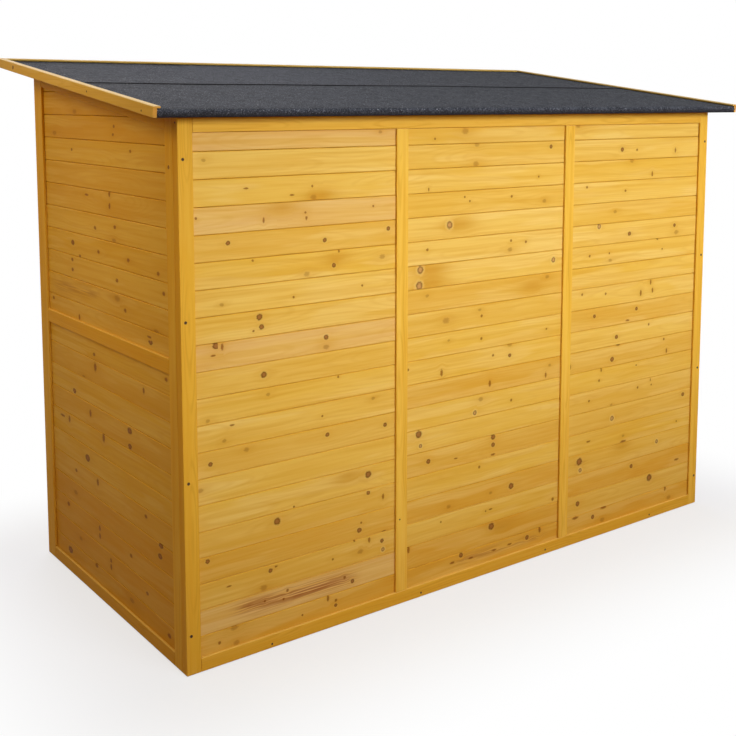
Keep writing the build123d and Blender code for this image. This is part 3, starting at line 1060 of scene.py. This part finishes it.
def boardPanel(name, side, low, high, seed, sloped=False, seen=None):
    origin, turn, width, thickness = panelPlace(side, low, high)
    height = high.z - low.z
    knots = seenKnots(seen, side, origin, turn) if seen else drawnKnots(width, height, seed)
    thing = newObject(name, knotPoints(knots))
    mesh = growMesh(thing, boardTree, {
        "Length": width, "Rows": math.ceil(height / boarding["pitch"]),
        "Segments": math.ceil(width / boarding["segment"]) + 1, "Pitch": boarding["pitch"],
        "Thickness": thickness - boarding["stagger"], "Bevel": boarding["bevel"], "Gap": boarding["gap"],
        "Stagger": boarding["stagger"], "Seed": seed, "Place": origin, "Turn": turn, "Finish": boardFinish,
    })
    paintBoards(mesh, knots, origin, turn, seen, seed)
    if sloped:
        cutTop(mesh, roofEdge - roofOut * topCover, roofOut)
    else:
        cutTop(mesh, Vector((0, 0, high.z)), Vector((0, 0, 1)))
    return thing


# panel, wall, seed, and whether the photo shows it
panels = [
    ("back_left", "back", 3, True),
    ("back_middle", "back", 8, True),
    ("back_right", "back", 21, True),
    ("left_end_lower", "left", 34, True),
    ("left_end_upper", "left", 55, True),
    ("right_end_lower", "right", 89, False),
    ("right_end_upper", "right", 144, False),
]
for name, side, seed, shown in panels:
    node = name + "_cladding"
    panel = boardPanel(name + "_boards", side, *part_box(node), seed, "upper" in name, node if shown else None)
    finishPiece(panel, "wall_boards", node)
for hand, seed in (("left", 233), ("right", 377)):
    node = hand + "_door_cladding"
    leaves = [
        boardPanel(hand + "_door_boards", "front", low, high, seed + place)
        for place, (low, high) in enumerate(islands(node))
    ]
    finishPiece(joinObjects(leaves[0], leaves[1:]), "wall_boards", node)
print("boards laid")


# framing: copies of the CAD members with eased edges, grain along each member
framing = {
    "ease": 0.0018,
    "easeSteps": 2,
    "sharp": math.radians(30),
    "flat": math.radians(0.5),
    "edgeHighlightAndShade": 0.6,          # painted highlight: tops of members are paler
    "topFacing": 0.3,      # the least that a top's normal rises
    "endTone": 0.75,
    "squareOn": 0.9,       # the least that a face's normal runs along an axis to count as facing that way
    "plainShade": 0.2,     # shades of members that don't stand out
    "shadeSpread": 0.5,
}
grainAxes = {"x": [0, 2, 1], "y": [1, 2, 0], "z": [2, 0, 1]}
# members whose shade stands out in the photo: 0 pale, 1 rosy
memberShades = {
    "back_left_batten": 0.0,
    "back_right_batten": 0.05,
    "back_right_post": 0.1,
    "back_left_post": 0.6,
    "back_top_rail": 1.0,
    "left_end_back_stile": 0.0,
    "left_end_front_stile": 0.1,
}
# a knot on the outside of an end member: pixel x, pixel y, half height in millimetres
memberKnots = {
    "left_end_back_stile": (170, 168, 4),
    "roof_left_trim": (17, 66, 5),
}


def markKnot(mesh, low, lengthwise, x, y, half):
    # one knot on the outer face of a member of the left end
    outward = Vector((-1, 0, 0))
    spot = pixelOnPlane(x, y, low, outward)
    wide, tall, *tone = knotKinds["eye"]
    crosswise = 3 - lengthwise    # the outer face spans Y and Z
    places = numpy.zeros((len(mesh.loops), 3))
    tones = numpy.zeros((len(mesh.loops), 3))
    for face in mesh.polygons:
        if face.normal.dot(outward) < framing["squareOn"]:
            continue
        for corner in face.loop_indices:
            gap = (mesh.vertices[mesh.loops[corner].vertex_index].co - spot) * 1000 / half
            places[corner] = gap[lengthwise] / wide, gap[crosswise] / tall, half * tall / 1000
            tones[corner] = tone
    setLayer(mesh, "knotPlace", places, "FLOAT_VECTOR", "CORNER")
    setLayer(mesh, "knotTone", tones, "FLOAT_VECTOR", "CORNER")


def easedCopy(node, pieceName, axis, finish, seed):
    shape = mergedCopy(node)
    bmesh.ops.dissolve_limit(shape, angle_limit=framing["flat"], verts=shape.verts, edges=shape.edges)
    outer = [
        edge for edge in shape.edges
        if len(edge.link_faces) == 2 and edge.calc_face_angle_signed() > framing["sharp"]
    ]
    bmesh.ops.bevel(shape, geom=outer, offset=framing["ease"], segments=framing["easeSteps"], affect="EDGES",
                    profile=0.5, clamp_overlap=True)
    mesh = takeMesh(shape, pieceName)
    low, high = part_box(node)
    order = grainAxes[axis]
    spots = vectors(mesh.vertices, "co")
    normals = vectors(mesh.polygons, "normal")
    setLayer(mesh, "grain", (spots - numpy.array((low + high) / 2))[:, order], "FLOAT_VECTOR")
    setLayer(mesh, "boardSeed", numpy.full(len(spots), seed))
    plain = framing["plainShade"] + framing["shadeSpread"] * seed
    setLayer(mesh, "boardShade", numpy.full(len(spots), memberShades.get(node, plain)))
    ends = abs(normals[:, order[0]]) > framing["squareOn"]
    setLayer(mesh, "endGrain", framing["endTone"] * ends, domain="FACE")
    # painted highlight: faces whose normals rise are painted paler
    setLayer(mesh, "edgeHighlightAndShade", framing["edgeHighlightAndShade"] * (normals[:, 2] > framing["topFacing"]), domain="FACE")
    if node in memberKnots:
        markKnot(mesh, low, order[0], *memberKnots[node])
    mesh.materials.append(finish)
    return newObject(pieceName, mesh)


framed = {
    "z": ["back_left_post", "back_right_post", "back_left_batten", "back_right_batten",
          "left_end_back_stile", "left_end_front_stile", "right_end_back_stile", "right_end_front_stile",
          "front_left_post", "front_right_post", "left_door_hinge_stile", "left_door_meeting_stile",
          "right_door_hinge_stile", "right_door_meeting_stile"],
    "x": ["back_top_rail", "back_bottom_rail", "front_header", "front_bottom_rail", "left_door_rails",
          "right_door_rails"],
    "y": ["left_end_bottom_rail", "left_end_middle_rail", "left_end_top_rail", "right_end_bottom_rail",
          "right_end_middle_rail", "right_end_top_rail"],
}
edgeTrim = {"y": ["roof_left_trim", "roof_right_trim"], "x": ["roof_front_trim"]}
golden = (math.sqrt(5) - 1) / 2  # spreads the seeds evenly
count = 0
for group, ending, finish, slot in (
    (framed, "_timber", framingFinish, "wall_framing"), (edgeTrim, "_moulding", trimFinish, "roof_trim")
):
    for axis, nodes in group.items():
        for node in nodes:
            count += 1
            finishPiece(easedCopy(node, node + ending, axis, finish, count * golden % 1), slot, node)
print("framing eased,", count, "members")


# roof felt: two sheets swept along the shed from their own outline at each station
felt = {
    "station": 0.030,
    "foldRadius": 0.006,
    "ripple": 0.0006,
    "calmReach": 0.05,     # towards an edge the ripples fade out over this length
    "edgeWave": 0.007,
    "lapEase": 0.010,      # length over which the upper sheet climbs the lower one's edge
    "bareShadeReach": 0.018,    # over this height the fold turns to bitumen colour: partly granules worn off, partly painted shade
    "bareShadeEdge": 0.004,     # bitumen colour this far along the upper sheet's lower edge: partly bare, partly painted shade at the seam
    "topSteps": 14,
    "foldSteps": 5,
    "lapSteps": 4,
    "smooth": math.radians(35),
}


def slopePoint(x, up, out):
    return roofOrigin + Vector((x, 0, 0)) + roofUp * up + roofOut * out


def slopePoints(node):
    # a roof node's corners as (along X, up the slope, square to it)
    spots = [vert.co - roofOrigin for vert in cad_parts[node].data.vertices]
    return [(spot.x, spot.dot(roofUp), spot.dot(roofOut)) for spot in spots]


def slopeBox(node):
    return [(min(values), max(values)) for values in zip(*slopePoints(node))]


deckOut = slopeBox("roof_deck")[2][1]
feltAcross, lowerUp, lowerOut = slopeBox("roof_lower_felt")
upperUp = slopeBox("roof_upper_felt")[1]
sheet = lowerOut[1] - deckOut
# how far the felt is turned under the eave
tucked = max(up for x, up, out in slopePoints("roof_lower_felt") if out < lowerOut[0] + sheet / 2)


def ripple(x, up):
    # the felt lies a little unevenly on its boards
    wave = math.sin(5.1 * x + 2.3 * up) * math.sin(9.7 * up + 1.1) + 0.6 * math.sin(13.0 * x - 4.0 * up)
    return felt["ripple"] * (0.5 + 0.3 * wave)


def arc(centre, radius, start, end, steps):
    turns = [start + (end - start) * step / steps for step in range(steps + 1)]
    return [(centre[0] + radius * math.cos(turn), centre[1] + radius * math.sin(turn)) for turn in turns]


def topSurface(x, far, near, out):
    # points down the slope on a sheet's upper side, flat towards its near end
    places = [far + (near - far) * step / felt["topSteps"] for step in range(felt["topSteps"] + 1)]
    return [(up, out - ripple(x, up) * min(1.0, (up - near) / felt["calmReach"])) for up in places]


def lowerOutline(x):
    # down the slope, round the fold at the eave, down its edge and under it, then back along the deck
    eave, far = lowerUp
    under, top = lowerOut
    radius = felt["foldRadius"]
    inner = deckOut - radius + sheet
    outline = topSurface(x, far, eave + radius, top)[:-1]
    outline += arc((eave + radius, top - radius), radius, math.pi / 2, math.pi, felt["foldSteps"])
    outline += arc((eave + sheet, under + sheet), sheet, math.pi, 1.5 * math.pi, 3)
    outline += [(tucked, under), (tucked, 0.0), (eave + sheet, 0.0), (eave + sheet, inner)]
    outline += arc((eave + radius, inner), radius - sheet, math.pi, math.pi / 2, felt["foldSteps"])[1:]
    outline += [(far, deckOut)]
    # share of painted shade and bare bitumen, growing down the fold
    return [(up, out, min(max((top - out) / felt["bareShadeReach"], 0.0), 1.0)) for up, out in outline]


def upperOutline(x):
    # the second sheet: its lower edge waves a little, and it climbs over the first sheet's edge
    seam, far = upperUp
    lap = lowerUp[1]
    edge = seam + felt["edgeWave"] * (0.6 * math.sin(3.9 * x + 1.2) + 0.4 * math.sin(11.0 * x))
    low, high, raised = deckOut, deckOut + sheet, deckOut + 2 * sheet
    ease, steps = felt["lapEase"], felt["lapSteps"]
    outline = [(far, high)] + topSurface(x, far, lap + ease, high)[1:]
    outline += [(lap + ease / 2, (high + raised) / 2)]
    outline += [(lap + (edge - lap) * step / steps, raised) for step in range(steps)]
    outline += [(edge + felt["bareShadeEdge"], raised), (edge, raised)]
    outline += [(edge, high), (lap, high), (lap, low), (far, low)]
    # painted shade and bare bitumen only at the lower edge
    return [(up, out, 1.0 if up == edge else 0.0) for up, out in outline]


def sweepSheet(name, outlineAt):
    left, right = feltAcross
    stations = round((right - left) / felt["station"])
    shape = bmesh.new()
    rings = []
    bareAndShade = []
    for station in range(stations + 1):
        x = left + (right - left) * station / stations
        outline = outlineAt(x)
        rings.append([shape.verts.new(slopePoint(x, up, out)) for up, out, share in outline])
        bareAndShade += [share for up, out, share in outline]
    for first, second in zip(rings, rings[1:]):
        for place in range(len(first)):
            before = place - 1
            shape.faces.new((first[before], first[place], second[place], second[before]))
    shape.faces.new(rings[0])
    shape.faces.new(rings[-1])
    bmesh.ops.recalc_face_normals(shape, faces=shape.faces)
    for face in shape.faces:
        face.smooth = len(face.verts) == 4
    for edge in shape.edges:
        edge.smooth = edge.calc_face_angle(0.0) < felt["smooth"]
    mesh = takeMesh(shape, name)
    setLayer(mesh, "bareAndShade", bareAndShade)
    mesh.materials.append(feltFinish)
    return newObject(name, mesh)


finishPiece(sweepSheet("lower_felt_sheet", lowerOutline), "roof_felt", "roof_lower_felt")
finishPiece(sweepSheet("upper_felt_sheet", upperOutline), "roof_felt", "roof_upper_felt")
print("felt laid")


# screws: one tree sets a cross-slotted head at every point, facing along the point's own direction
screws = {
    "radius": 0.0040,
    "proud": 0.0005,
    "depth": 0.0030,
    "corners": 14,
    "slotLength": 0.0046,
    "slotWidth": 0.0011,
    "slotProud": 0.00008,
    "slotShare": 0.8,      # of the head's height
    "twist": 1.1,          # turn from one head to the next
    "postInset": 0.013,
    "postHeights": (0.101, 0.490, 0.888, 1.279),
    "railSize": 0.75,      # smaller fasteners, as a share of the posts' screws, and their pixels in the photo
    "railPixels": [(267, 651), (419, 599), (547, 555), (655, 519)],
    "nailSize": 0.6,
    "battenPixels": [(397, 522)],
    "trimPixels": [(145, 114), (91, 93)],
    "stilePixels": [(177, 125)],
    "hingeSize": 0.8,
    "hingePlate": 0.0025,  # thickness of a hinge leaf
    "hingeColumn": 0.33,   # from a hinge's middle, as shares of its width and height
    "hingeRows": (-0.34, 0.0, 0.34),
}


def makeScrewTree():
    tree, given, result = newTree("screwHeads", "GeometryNodeTree", {
        "Places": "Geometry", "Radius": "Float", "Depth": "Float", "Proud": "Float", "Slot Length": "Float",
        "Slot Width": "Float", "Slot Proud": "Float", "Finish": "Material", "Slot Shadow Finish": "Material",
    }, {"Geometry": "Geometry"})
    proud, depth = given["Proud"], given["Depth"]
    length, width = given["Slot Length"], given["Slot Width"]
    join = addNode(tree, "GeometryNodeJoinGeometry")

    def addPart(mesh, height, finish):
        raised = geo(tree, "Transform", {"Geometry": mesh, "Translation": combine(z=height)})
        put(join.inputs[0], geo(tree, "SetMaterial", {"Geometry": raised, "Material": finish}))

    head = {"Vertices": screws["corners"], "Radius": given["Radius"], "Depth": depth}
    addPart(geo(tree, "MeshCylinder", head), proud - depth * 0.5, given["Finish"])
    slotDepth = proud * screws["slotShare"]
    # the slots are dark bars a hair proud of the head: painted shadow
    for size in ((length, width), (width, length)):
        bar = geo(tree, "MeshCube", {"Size": combine(*size, slotDepth)})
        addPart(bar, proud + given["Slot Proud"] - slotDepth * 0.5, given["Slot Shadow Finish"])
    facing = geo(tree, "InputNamedAttribute", {"Name": "facing"}, data_type="FLOAT_VECTOR")
    turn = firstOutput(addNode(tree, "FunctionNodeAlignRotationToVector", {"Vector": facing}, axis="Z"))
    twist = combine(z=geo(tree, "InputIndex") * screws["twist"])
    spin = addNode(tree, "FunctionNodeRotateRotation", {0: turn, 1: twist}, rotation_space="LOCAL")
    size = geo(tree, "InputNamedAttribute", {"Name": "size"}, data_type="FLOAT")
    driven = geo(tree, "InstanceOnPoints", {
        "Points": given["Places"], "Instance": firstOutput(join), "Rotation": firstOutput(spin),
        "Scale": combine(size, size, size),
    })
    put(result["Geometry"], geo(tree, "RealizeInstances", {"Geometry": driven}))
    return tree


screwTree = makeScrewTree()


def driveScrews(name, places):
    # places are (point, facing, size)
    mesh = bpy.data.meshes.new(name)
    mesh.from_pydata([point for point, facing, size in places], [], [])
    setLayer(mesh, "facing", [facing for point, facing, size in places], "FLOAT_VECTOR")
    setLayer(mesh, "size", [size for point, facing, size in places])
    thing = newObject(name, mesh)
    growMesh(thing, screwTree, {
        "Radius": screws["radius"], "Depth": screws["depth"], "Proud": screws["proud"],
        "Slot Length": screws["slotLength"], "Slot Width": screws["slotWidth"],
        "Slot Proud": screws["slotProud"], "Finish": screwFinish, "Slot Shadow Finish": slotShadowFinish,
    })
    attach(thing, "root")


def seenScrews(pixels, point, outward, size):
    return [(pixelOnPlane(x, y, point, outward), outward, size) for x, y in pixels]


outBack, outFront, outLeft = Vector((0, -1, 0)), Vector((0, 1, 0)), Vector((-1, 0, 0))
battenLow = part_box("back_left_batten")[0]
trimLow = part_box("roof_left_trim")[0]
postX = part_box("back_right_post")[1].x - screws["postInset"]
postScrews = [
    (Vector((side * postX, backLow.y, height)), outBack, 1.0)
    for side in (-1, 1) for height in screws["postHeights"]
]
railScrews = seenScrews(screws["railPixels"], backLow, outBack, screws["railSize"])
battenNails = seenScrews(screws["battenPixels"], battenLow, outBack, screws["nailSize"])
driveScrews("back_wall_screws", postScrews + railScrews + battenNails)
trimNails = seenScrews(screws["trimPixels"], trimLow, outLeft, screws["nailSize"])
stileNails = seenScrews(screws["stilePixels"], backLow, outLeft, screws["nailSize"])
driveScrews("left_end_screws", trimNails + stileNails)

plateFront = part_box("front_left_post")[1].y + screws["hingePlate"]
hingeScrews = []
for low, high in islands("door_hinges"):
    middle, size = (low + high) / 2, high - low
    for side in (-1, 1):
        x = middle.x + side * size.x * screws["hingeColumn"]
        heights = [middle.z + share * size.z for share in screws["hingeRows"]]
        hingeScrews += [(Vector((x, plateFront, z)), outFront, screws["hingeSize"]) for z in heights]
driveScrews("hinge_screws", hingeScrews)
print("screws driven")


# what stays as the CAD has it takes a finish on its own slots
def paint(node, finish):
    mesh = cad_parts[node].data
    if not mesh.materials:
        mesh.materials.append(finish)
    for place in range(len(mesh.materials)):
        mesh.materials[place] = finish


paint("roof_deck", timberFinish)
paint("roof_bearers", timberFinish)
paint("door_hinges", steelFinish)
paint("door_bolt", steelFinish)


# studio: pale floor, white to the camera away from the shed, and soft light from the right of the back wall
studio = {
    "floorHalf": 30.0,
    "floor": (0.83, 0.86, 0.91, 1.0),
    "floorBounce": (0.32, 0.16, 0.02, 1.0),
    "clearFrom": 0.02,
    "clearTo": 0.60,
    "clearLeast": 0.66,
    "skyHigh": 0.46,
    "skyLow": 0.03,
    "skyUnder": 0.04,
    "skyRise": (0.0, 0.8),     # heights in the sky between which its light grows
    "skyFall": (-0.25, 0.0),
    "skyPlain": (0.3, 0.95),   # heights between which its warm tint fades
    "skyWarm": (1.0, 0.68, 0.24, 1.0),
    "white": (1.0, 1.0, 1.0, 1.0),
    "keyPower": 24.4,
    "keyPlace": (0.9, -2.9, 1.85),
    "keyAim": (0.75, -0.48, 1.0),
    "keySize": (4.6, 0.9),
    "keySpread": math.radians(70),
    "keyTint": (1.0, 1.01, 1.10),
    "sidePower": 2.3,
    "sidePlace": (-2.5, 0.2, 2.2),
    "sideAim": (-1.0, 0.0, 1.15),
    "sideSize": (1.4, 0.8),
    "sideSpread": math.radians(60),
    "sideTint": (1.0, 0.72, 0.24),
    "doorPower": 62.0,
    "doorPlace": (0.5, 4.0, 2.4),
    "doorAim": (0.0, 0.4, 0.9),
    "doorSize": (4.0, 1.6),
    "doorSpread": math.radians(150),
    "doorTint": (1.0, 1.02, 1.25),
}


def seenRay(tree):
    # 1 for what the camera sees, also by way of metal or glass
    path = outputs(addNode(tree, "ShaderNodeLightPath"))
    mirrored = calc("MAXIMUM", path["Is Glossy Ray"], path["Is Transmission Ray"])
    return calc("MAXIMUM", path["Is Camera Ray"], mirrored)


def addSky():
    world = bpy.data.worlds.new("studio")
    bpy.context.scene.world = world
    world.use_nodes = True
    tree = world.node_tree
    tree.nodes.clear()
    height = separate(outputs(addNode(tree, "ShaderNodeTexCoord"))["Generated"])[2]
    above = fade(height, *studio["skyRise"], studio["skyLow"], studio["skyHigh"])
    below = fade(height, *studio["skyFall"], studio["skyUnder"], studio["skyLow"])
    light = calc("MAXIMUM", above * calc("GREATER_THAN", height, 0.0), below)
    seen = seenRay(tree)
    tint = mixColour(fade(height, *studio["skyPlain"]), studio["skyWarm"], studio["white"])
    back = addNode(tree, "ShaderNodeBackground", {
        "Color": mixColour(seen, tint, studio["white"]), "Strength": light * (1.0 - seen) + seen,
    })
    put(addNode(tree, "ShaderNodeOutputWorld").inputs["Surface"], firstOutput(back))


def addFloor():
    half = studio["floorHalf"]
    mesh = bpy.data.meshes.new("floor")
    corners = [(-half, -half, 0), (half, -half, 0), (half, half, 0), (-half, half, 0)]
    mesh.from_pydata(corners, [], [(0, 1, 2, 3)])
    floor = newObject("floor", mesh)
    material, tree, surface = newMaterial("paleFloor")
    mesh.materials.append(material)
    seen = seenRay(tree)
    put(surface["Base Color"], mixColour(seen, studio["floorBounce"], studio["floor"]))
    surface["Roughness"].default_value = 1.0
    surface["Specular IOR Level"].default_value = 0.0
    # the floor turns white with the distance from the shed's walls
    x, y = separate(objectPlace(tree))[:2]
    halfLength = -backLow.x
    asideX = calc("MAXIMUM", calc("ABSOLUTE", x) - halfLength, 0.0)
    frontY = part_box("front_left_post")[1].y
    asideY = calc("MAXIMUM", calc("MAXIMUM", backLow.y - y, y - frontY), 0.0)
    away = calc("SQRT", asideX * asideX + asideY * asideY)
    clear = fade(away, studio["clearFrom"], studio["clearTo"], studio["clearLeast"], 1.0)
    clear = clear * seen * calc("GREATER_THAN", away, 0.0)
    white = addNode(tree, "ShaderNodeEmission", {"Color": studio["white"], "Strength": 1.0})
    lit = tree.nodes["Principled BSDF"]
    mixed = addNode(tree, "ShaderNodeMixShader", {0: clear, 1: firstOutput(lit), 2: firstOutput(white)})
    put(tree.nodes["Material Output"].inputs["Surface"], firstOutput(mixed))


def addLamp(name):
    data = bpy.data.lights.new(name, "AREA")
    data.shape = "RECTANGLE"
    data.size, data.size_y = studio[name + "Size"]
    data.energy = studio[name + "Power"]
    data.spread = studio[name + "Spread"]
    data.color = studio[name + "Tint"]
    lamp = bpy.data.objects.new(name, data)
    place = Vector(studio[name + "Place"])
    aim = Vector(studio[name + "Aim"]) - place
    lamp.matrix_world = Matrix.Translation(place) @ aim.to_track_quat("-Z", "Y").to_matrix().to_4x4()
    lamp.visible_camera = False
    bpy.context.scene.collection.objects.link(lamp)


addSky()
addFloor()
for lampName in ("key", "side", "door"):
    addLamp(lampName)
print("studio lit")
